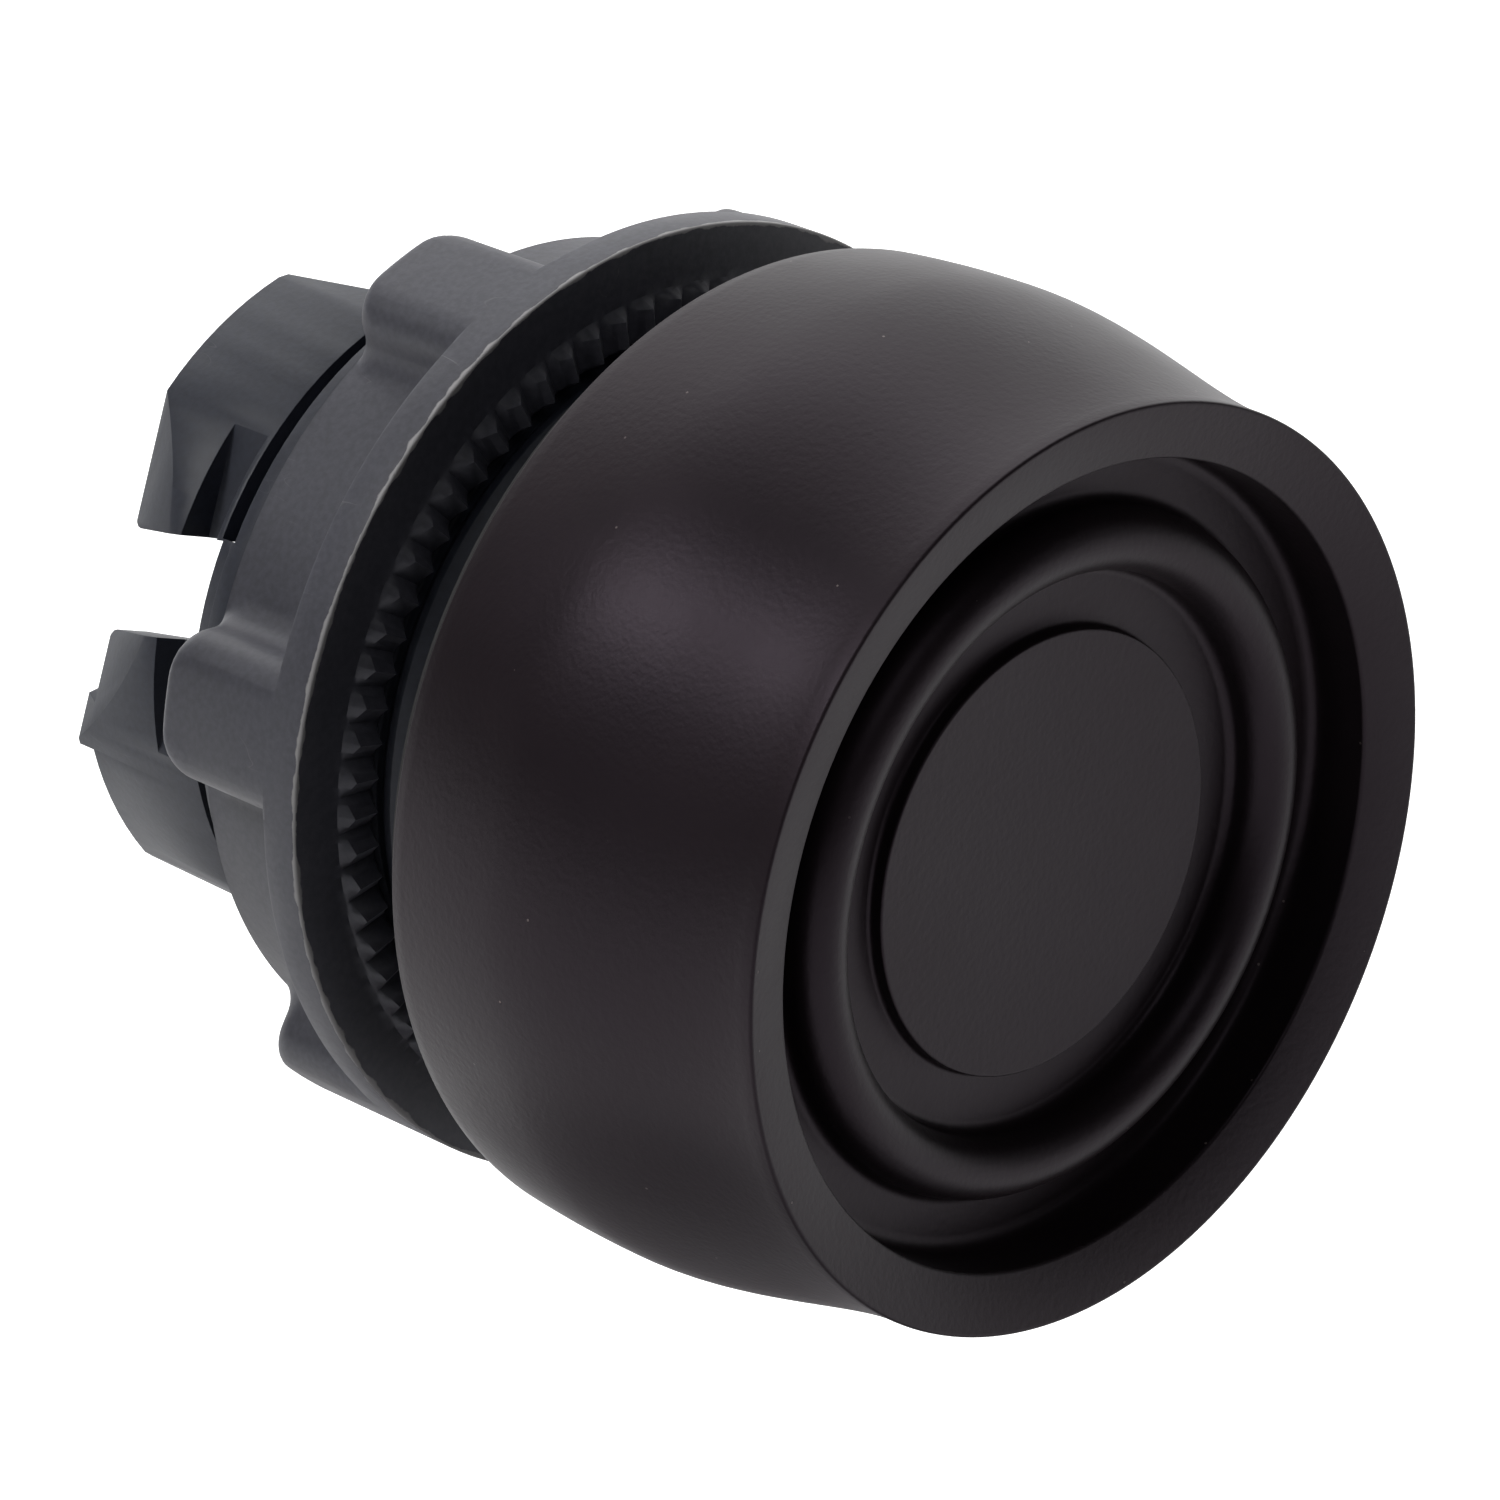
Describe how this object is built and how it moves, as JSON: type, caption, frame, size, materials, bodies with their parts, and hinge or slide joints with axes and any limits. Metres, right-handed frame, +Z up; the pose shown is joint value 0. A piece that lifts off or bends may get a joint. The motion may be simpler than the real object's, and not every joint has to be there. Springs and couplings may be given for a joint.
{
  "type": "booted push button head",
  "caption": "Round spring-return push-button head with a rubber boot, a toothed fixing nut and a bayonet tail for a contact block.",
  "frame": {"origin": "on the button's axis, in the plane of the panel's front face, where the gasket's back seats", "axes": "-Y is the way the button faces, +Y runs back through the panel along the barrel, +Z is up as the head is mounted (the key is at +Z), +X is to the right seen from the front"},
  "size_m": [0.029, 0.0305, 0.029],
  "materials": {
    "boot_rubber": "matte",
    "body_plastic": "matte",
    "nut_plastic": "matte",
    "seal_rubber": "matte",
    "cap_plastic": "satin",
    "plunger_plastic": "satin",
    "spring_steel": "bright"
  },
  "bodies": {
    "head": {"head_body": "body_plastic", "boot_skirt": "boot_rubber", "boot_clamp_ring": "spring_steel", "lip_seal": "seal_rubber", "panel_gasket": "seal_rubber", "return_spring": "spring_steel"},
    "button": {"boot_face": "boot_rubber", "push_cap": "cap_plastic", "plunger": "plunger_plastic", "retaining_ring": "spring_steel"},
    "fold": {"boot_fold": "boot_rubber"},
    "nut": {"fixing_nut": "nut_plastic"}
  },
  "joints": [
    {"name": "push", "type": "slide", "parent": "head", "child": "button", "axis": [0, 1, 0], "range_m": [0, 0.004], "stiffness_N_per_m": 460, "springref_m": -0.005, "deforming": ["return_spring"]},
    {"name": "fold_roll", "type": "slide", "parent": "head", "child": "fold", "axis": [0, 1, 0], "range_m": [0, 0.002]},
    {"name": "nut_turn", "type": "hinge", "parent": "head", "child": "nut", "pos_m": [0, 0.006, 0], "axis": [0, 1, 0], "continuous": true}
  ],
  "couplings": [
    {"joint": "fold_roll", "follows": "push", "ratio": 0.5}
  ]
}
